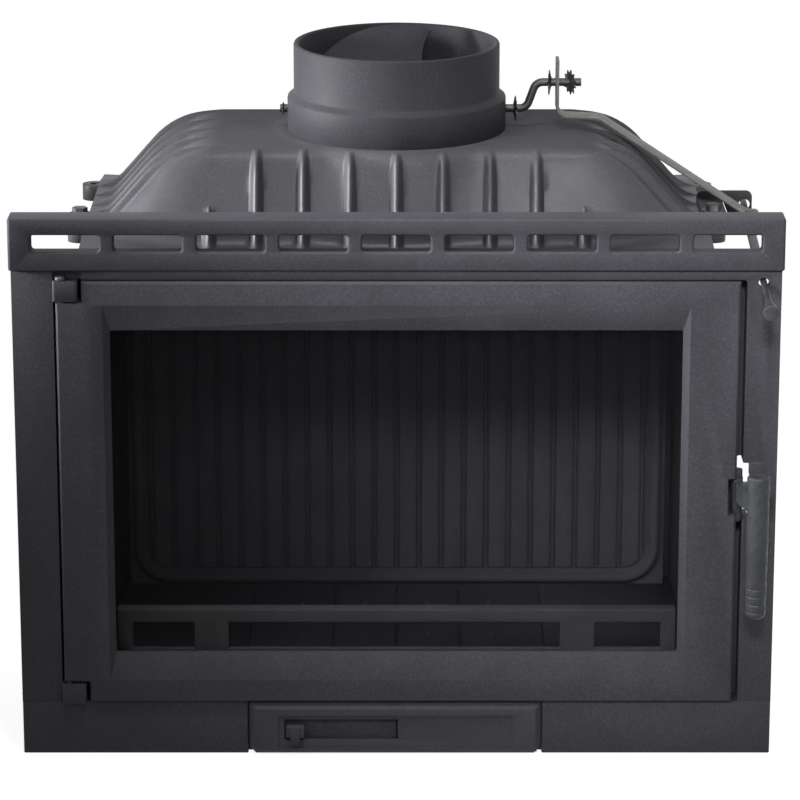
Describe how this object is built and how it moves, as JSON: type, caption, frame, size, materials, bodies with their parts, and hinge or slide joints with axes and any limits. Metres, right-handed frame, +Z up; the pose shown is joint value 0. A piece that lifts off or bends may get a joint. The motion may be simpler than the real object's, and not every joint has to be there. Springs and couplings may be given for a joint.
{
  "type": "fireplace insert",
  "caption": "Cast-iron fireplace insert with a glazed side-hung door, slotted lintel, ash drawer with air slide, ribbed smoke dome and a flue spigot with a rod-operated damper.",
  "frame": {"origin": "on the standing plane, directly below the flue axis", "axes": "+X to the right seen from the room, +Y to the back, +Z up; the front faces -Y"},
  "size_m": [0.7, 0.4186, 0.6441],
  "materials": {
    "cast_iron": "matt heat-proof anthracite paint over fine sand-cast grain",
    "sheet_steel": "matt black paint",
    "handle_casting": "rough cast, painted",
    "bare_steel": "mill-finish steel, slightly browned",
    "fasteners": "blackened steel",
    "ceramic_glass": "clear ceramic glass",
    "seal_rope": "knitted glass-fibre rope"
  },
  "bodies": {
    "firebox": {"base_plate": "cast_iron", "ash_housing": "sheet_steel", "plinth_left": "cast_iron", "plinth_right": "cast_iron", "front_frame": "cast_iron", "lintel": "cast_iron", "lintel_screws": "fasteners", "left_side_wall": "cast_iron", "right_side_wall": "cast_iron", "back_wall": "cast_iron", "frame_bolts": "fasteners", "hearth_plate": "cast_iron", "grate": "cast_iron", "fireback": "cast_iron", "log_guard": "cast_iron", "smoke_baffle": "cast_iron", "dome": "cast_iron", "dome_bolts": "fasteners", "guide_bracket": "sheet_steel", "flue_spigot": "cast_iron", "spigot_bolts": "fasteners", "upper_hinge_lug": "cast_iron", "lower_hinge_lug": "cast_iron", "hinge_pins": "fasteners"},
    "door": {"door_frame": "cast_iron", "door_glass": "ceramic_glass", "glass_gasket": "seal_rope", "door_gasket": "seal_rope", "glass_clips": "fasteners", "clip_screws": "fasteners", "handle_pin": "fasteners"},
    "handle": {"handle_lever": "handle_casting", "handle_grip": "handle_casting"},
    "ash_drawer": {"drawer_front": "cast_iron", "ash_pan": "sheet_steel"},
    "air_slide": {"air_slider": "sheet_steel"},
    "damper": {"damper_disc": "cast_iron", "damper_screws": "fasteners", "damper_shaft": "bare_steel", "star_washers": "bare_steel"},
    "pull_rod": {"pull_rod": "bare_steel", "link_bar": "bare_steel"}
  },
  "joints": [
    {"name": "door_hinge", "type": "hinge", "parent": "firebox", "child": "door", "pos_m": [-0.3035, -0.1945, 0.25], "axis": [0, 0, -1], "range_deg": [0, 110]},
    {"name": "handle_turn", "type": "hinge", "parent": "door", "child": "handle", "pos_m": [0.312, -0.19, 0.2525], "axis": [0, 0, -1], "range_deg": [0, 38]},
    {"name": "drawer_pull", "type": "slide", "parent": "firebox", "child": "ash_drawer", "axis": [0, -1, 0], "range_m": [0, 0.25]},
    {"name": "air_slide_travel", "type": "slide", "parent": "ash_drawer", "child": "air_slide", "axis": [1, 0, 0], "range_m": [0, 0.08]},
    {"name": "damper_turn", "type": "hinge", "parent": "firebox", "child": "damper", "pos_m": [0, 0, 0.574], "axis": [1, 0, 0], "range_deg": [-45, 45]},
    {"name": "rod_pull", "type": "slide", "parent": "firebox", "child": "pull_rod", "axis": [0, -0.9936, -0.1132], "range_m": [-0.019, 0.019]}
  ],
  "couplings": [
    {"joint": "rod_pull", "follows": "damper_turn", "m_per_rad": 0.023551}
  ]
}
